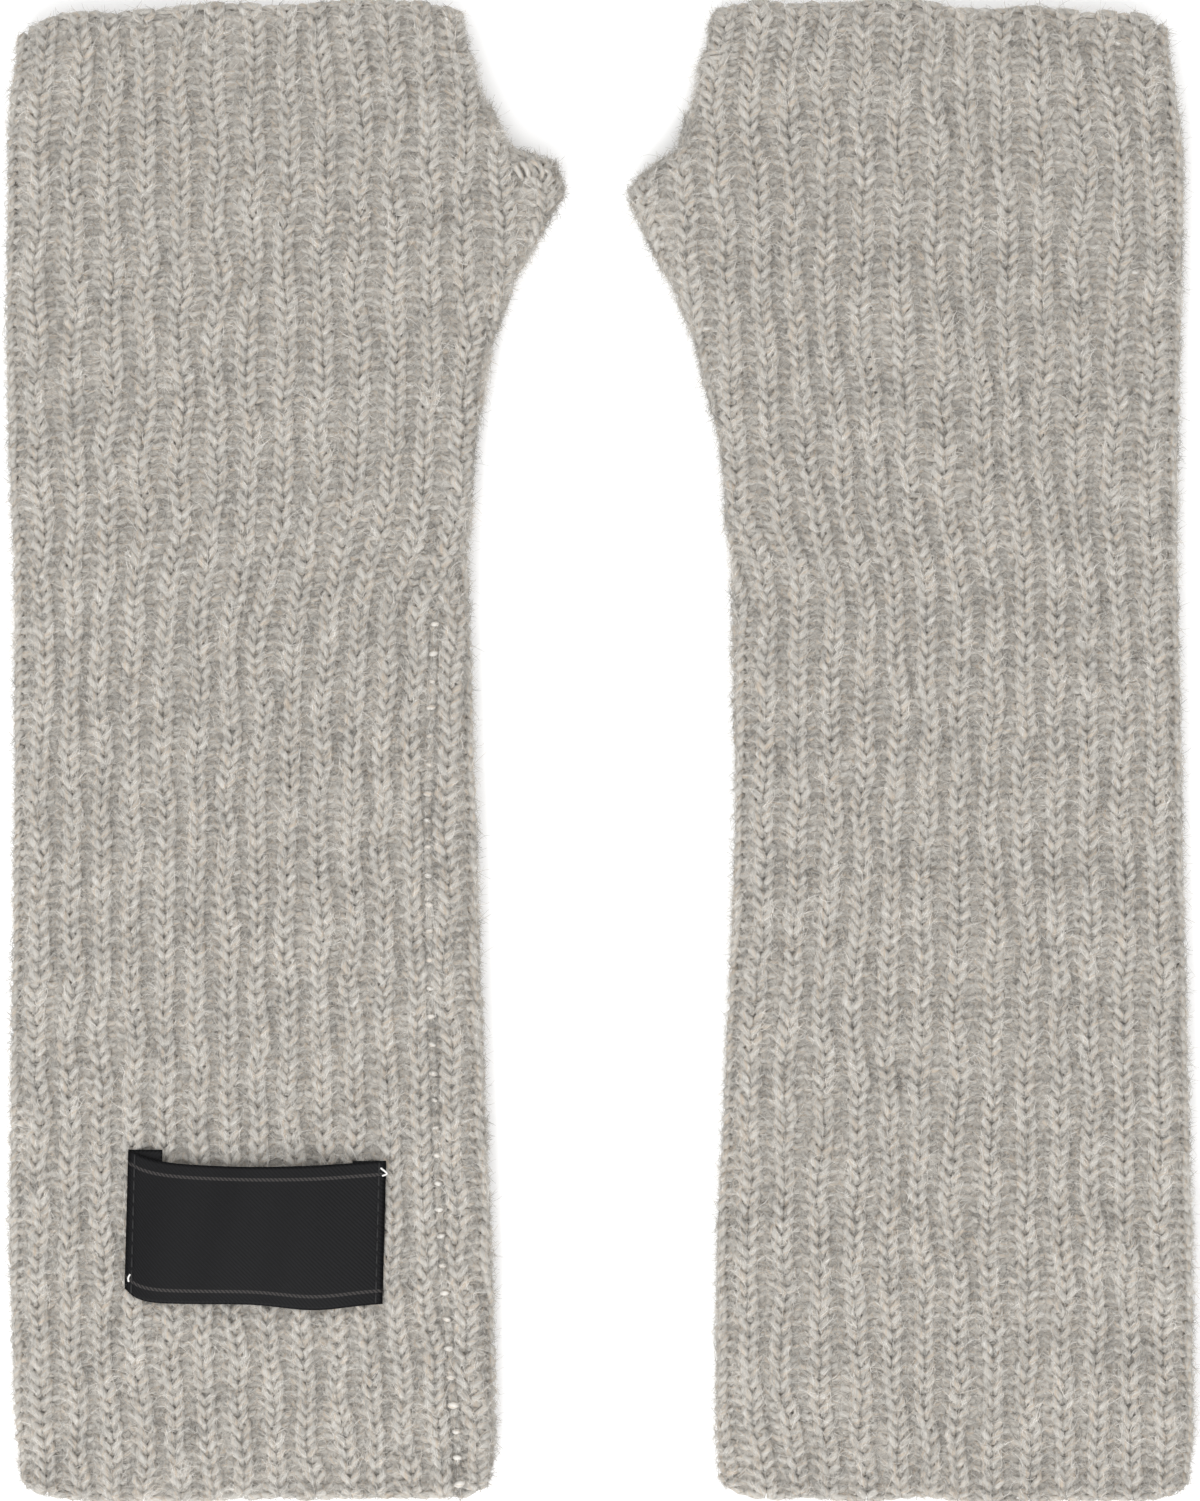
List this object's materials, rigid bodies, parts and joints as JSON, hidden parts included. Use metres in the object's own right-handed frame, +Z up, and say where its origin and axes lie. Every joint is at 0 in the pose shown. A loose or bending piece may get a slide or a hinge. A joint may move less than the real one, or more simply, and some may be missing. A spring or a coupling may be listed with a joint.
{
  "type": "pair of fingerless gloves",
  "caption": "Pair of long rib-knit wool fingerless gloves lying flat, each an open tube with a side thumb slit, a sewn seam and a blank woven label on the forearm.",
  "frame": {"origin": "middle of the pair's bounding box, on the surface that the gloves lie on", "axes": "+X to the right across the pair, +Y from the cuffs to the fingers' ends, +Z up from the surface"},
  "size_m": [0.2564, 0.321, 0.0149],
  "materials": {
    "knit_wool": "brushed marl wool rib knit",
    "seam_thread": "soft pale sewing yarn",
    "thumb_yarn": "loose marl wool yarn",
    "label_satin": "woven satin tape with a soft sheen",
    "dark_thread": "fine twisted thread",
    "light_thread": "fine twisted thread"
  },
  "bodies": {
    "left_glove": {"left_forearm_sleeve": "knit_wool", "left_forearm_seam": "seam_thread", "left_label": "label_satin", "left_label_stitches_near": "dark_thread", "left_label_stitches_far": "dark_thread", "left_label_tack_near": "light_thread", "left_label_tack_far": "light_thread"},
    "left_hand": {"left_hand_sleeve": "knit_wool", "left_hand_seam": "seam_thread", "left_finger_seam": "seam_thread", "left_thumb_tack_low": "thumb_yarn", "left_thumb_tack_high": "thumb_yarn"},
    "right_glove": {"right_forearm_sleeve": "knit_wool", "right_forearm_seam": "seam_thread", "right_label": "label_satin", "right_label_stitches_near": "dark_thread", "right_label_stitches_far": "dark_thread", "right_label_tack_near": "light_thread", "right_label_tack_far": "light_thread"},
    "right_hand": {"right_hand_sleeve": "knit_wool", "right_hand_seam": "seam_thread", "right_finger_seam": "seam_thread", "right_thumb_tack_low": "thumb_yarn", "right_thumb_tack_high": "thumb_yarn"}
  },
  "joints": [
    {"name": "left_wrist_bend", "type": "hinge", "parent": "left_glove", "child": "left_hand", "pos_m": [-0.0772, 0.04215, 0.013], "axis": [1, 0, 0], "range_deg": [0, 60]},
    {"name": "right_glove_lift", "type": "slide", "parent": "left_glove", "child": "right_glove", "axis": [0, 0, 1], "range_m": [0, 0.12]},
    {"name": "right_wrist_bend", "type": "hinge", "parent": "right_glove", "child": "right_hand", "pos_m": [0.076, 0.04215, 0.013], "axis": [1, 0, 0], "range_deg": [0, 60]}
  ]
}
